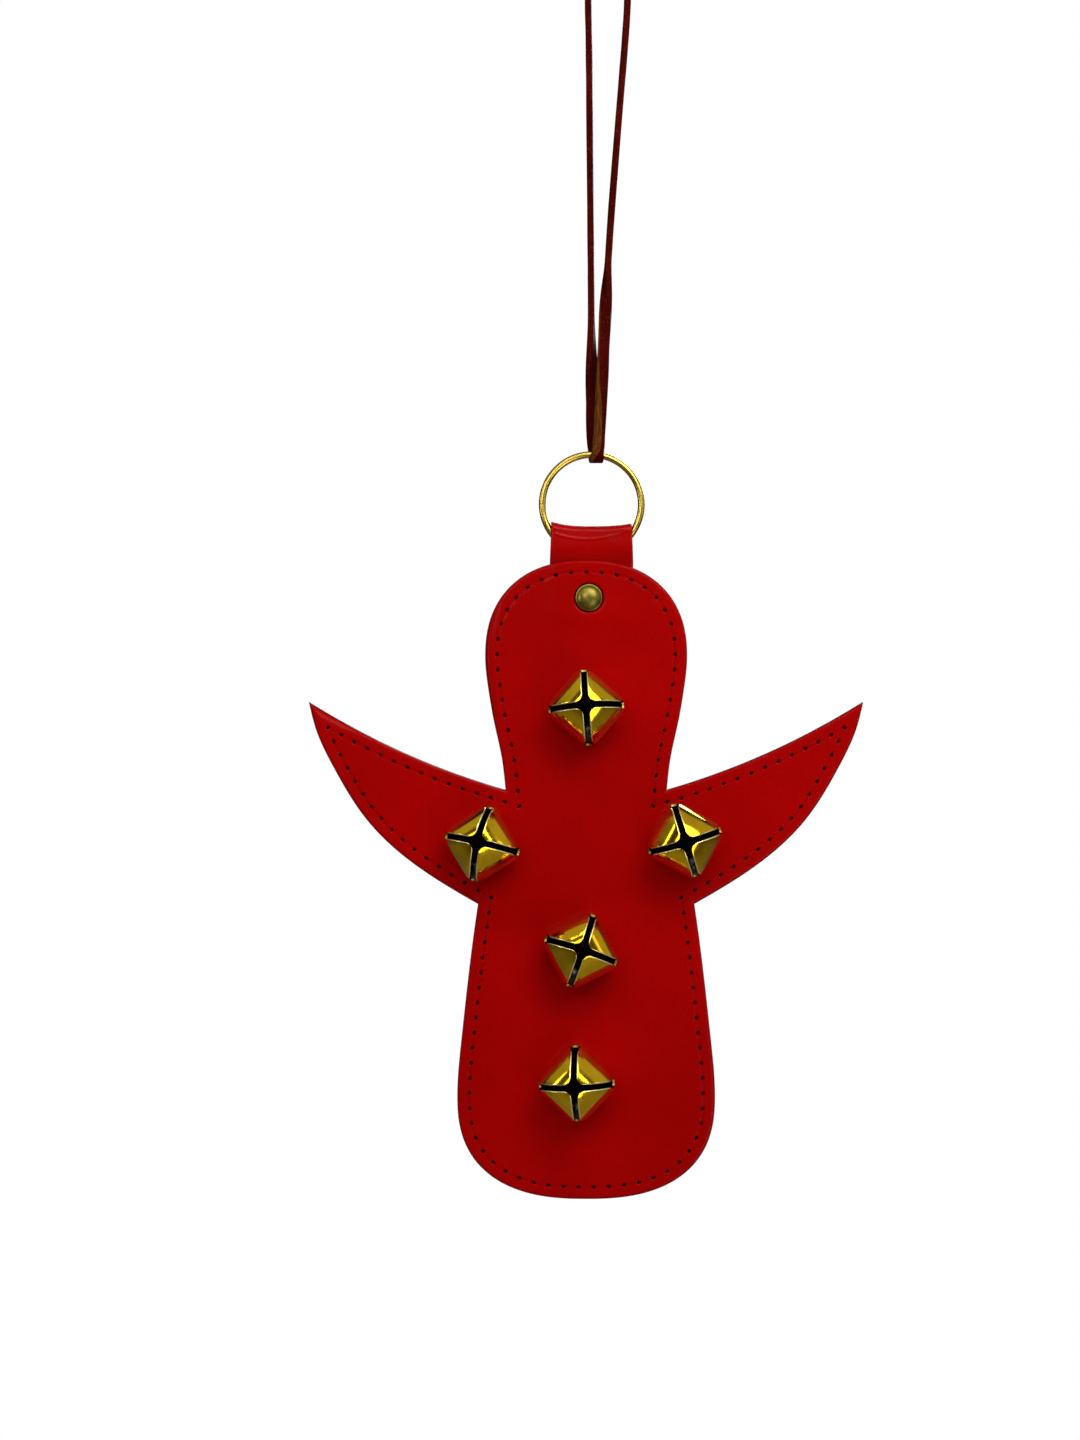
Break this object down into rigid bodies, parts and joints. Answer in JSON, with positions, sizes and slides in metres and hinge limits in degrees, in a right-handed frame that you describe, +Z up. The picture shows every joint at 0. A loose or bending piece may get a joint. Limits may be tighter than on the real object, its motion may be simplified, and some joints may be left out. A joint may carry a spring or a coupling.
{
  "type": "bell door hanger",
  "caption": "Angel-shaped two-layer leather door hanger with riveted four-petal jingle bells, hung by a ring in a folded tab and a leather lace loop.",
  "frame": {"origin": "the hook's place: inside top of the lace loop the hanger hangs by", "axes": "+Z up along the hanging lace, -Y out of the front with the bells, +X to the right seen from the front"},
  "size_m": [0.1848, 0.0284, 0.4302],
  "materials": {
    "red_leather": "glossy smooth, bevelled edges",
    "lining_leather": "satin lining leather",
    "lace_leather": "oiled lace with a suede edge",
    "red_thread": "waxed twisted thread",
    "ring_brass": "plain wire, lightly tarnished",
    "bell_brass": "polished pressed sheet",
    "antique_brass": "antique, semi-gloss",
    "rivet_brass": "plain",
    "pellet_steel": "dull steel"
  },
  "bodies": {
    "thong": {"thong_loop": "lace_leather", "thong_knot": "lace_leather"},
    "ring": {"ring": "ring_brass"},
    "angel": {"front_panel": "red_leather", "back_panel": "lining_leather", "front_thread": "red_thread", "back_thread": "red_thread", "hanger_tab": "red_leather", "tab_rivet_cap": "antique_brass", "tab_rivet_post": "antique_brass", "bell_1_rivet": "rivet_brass", "bell_1_washer": "rivet_brass", "bell_2_rivet": "rivet_brass", "bell_2_washer": "rivet_brass", "bell_3_rivet": "rivet_brass", "bell_3_washer": "rivet_brass", "bell_4_rivet": "rivet_brass", "bell_4_washer": "rivet_brass", "bell_5_rivet": "rivet_brass", "bell_5_washer": "rivet_brass"},
    "bell_1": {"bell_1_shell": "bell_brass"},
    "pellet_1": {"bell_1_pellet": "pellet_steel"},
    "bell_2": {"bell_2_shell": "bell_brass"},
    "pellet_2": {"bell_2_pellet": "pellet_steel"},
    "bell_3": {"bell_3_shell": "bell_brass"},
    "pellet_3": {"bell_3_pellet": "pellet_steel"},
    "bell_4": {"bell_4_shell": "bell_brass"},
    "pellet_4": {"bell_4_pellet": "pellet_steel"},
    "bell_5": {"bell_5_shell": "bell_brass"},
    "pellet_5": {"bell_5_pellet": "pellet_steel"}
  },
  "joints": [
    {"name": "ring_swing", "type": "hinge", "parent": "thong", "child": "ring", "pos_m": [-0.0054, 0, -0.1614], "axis": [1, 0, 0], "range_deg": [-75, 75]},
    {"name": "angel_sway", "type": "hinge", "parent": "ring", "child": "angel", "pos_m": [-0.0054, 0, -0.1779], "axis": [0, 1, 0], "range_deg": [-90, 90]},
    {"name": "bell_1_spin", "type": "hinge", "parent": "angel", "child": "bell_1", "pos_m": [-0.0074, -0.0025, -0.246], "axis": [0, 1, 0], "continuous": true},
    {"name": "pellet_1_rattle", "type": "slide", "parent": "bell_1", "child": "pellet_1", "axis": [-0.0698, 0, 0.9976], "range_m": [0, 0.0164]},
    {"name": "bell_2_spin", "type": "hinge", "parent": "angel", "child": "bell_2", "pos_m": [-0.0416, -0.0025, -0.2911], "axis": [0, 1, 0], "continuous": true},
    {"name": "pellet_2_rattle", "type": "slide", "parent": "bell_2", "child": "pellet_2", "axis": [0.225, 0, 0.9744], "range_m": [0, 0.0164]},
    {"name": "bell_3_spin", "type": "hinge", "parent": "angel", "child": "bell_3", "pos_m": [0.0251, -0.0025, -0.2898], "axis": [0, 1, 0], "continuous": true},
    {"name": "pellet_3_rattle", "type": "slide", "parent": "bell_3", "child": "pellet_3", "axis": [-0.2924, 0, 0.9563], "range_m": [0, 0.0164]},
    {"name": "bell_4_spin", "type": "hinge", "parent": "angel", "child": "bell_4", "pos_m": [-0.0092, -0.0025, -0.3263], "axis": [0, 1, 0], "continuous": true},
    {"name": "pellet_4_rattle", "type": "slide", "parent": "bell_4", "child": "pellet_4", "axis": [0.3173, 0, 0.9483], "range_m": [0, 0.0164]},
    {"name": "bell_5_spin", "type": "hinge", "parent": "angel", "child": "bell_5", "pos_m": [-0.0105, -0.0025, -0.3701], "axis": [0, 1, 0], "continuous": true},
    {"name": "pellet_5_rattle", "type": "slide", "parent": "bell_5", "child": "pellet_5", "axis": [-0.0349, 0, 0.9994], "range_m": [0, 0.0164]}
  ]
}
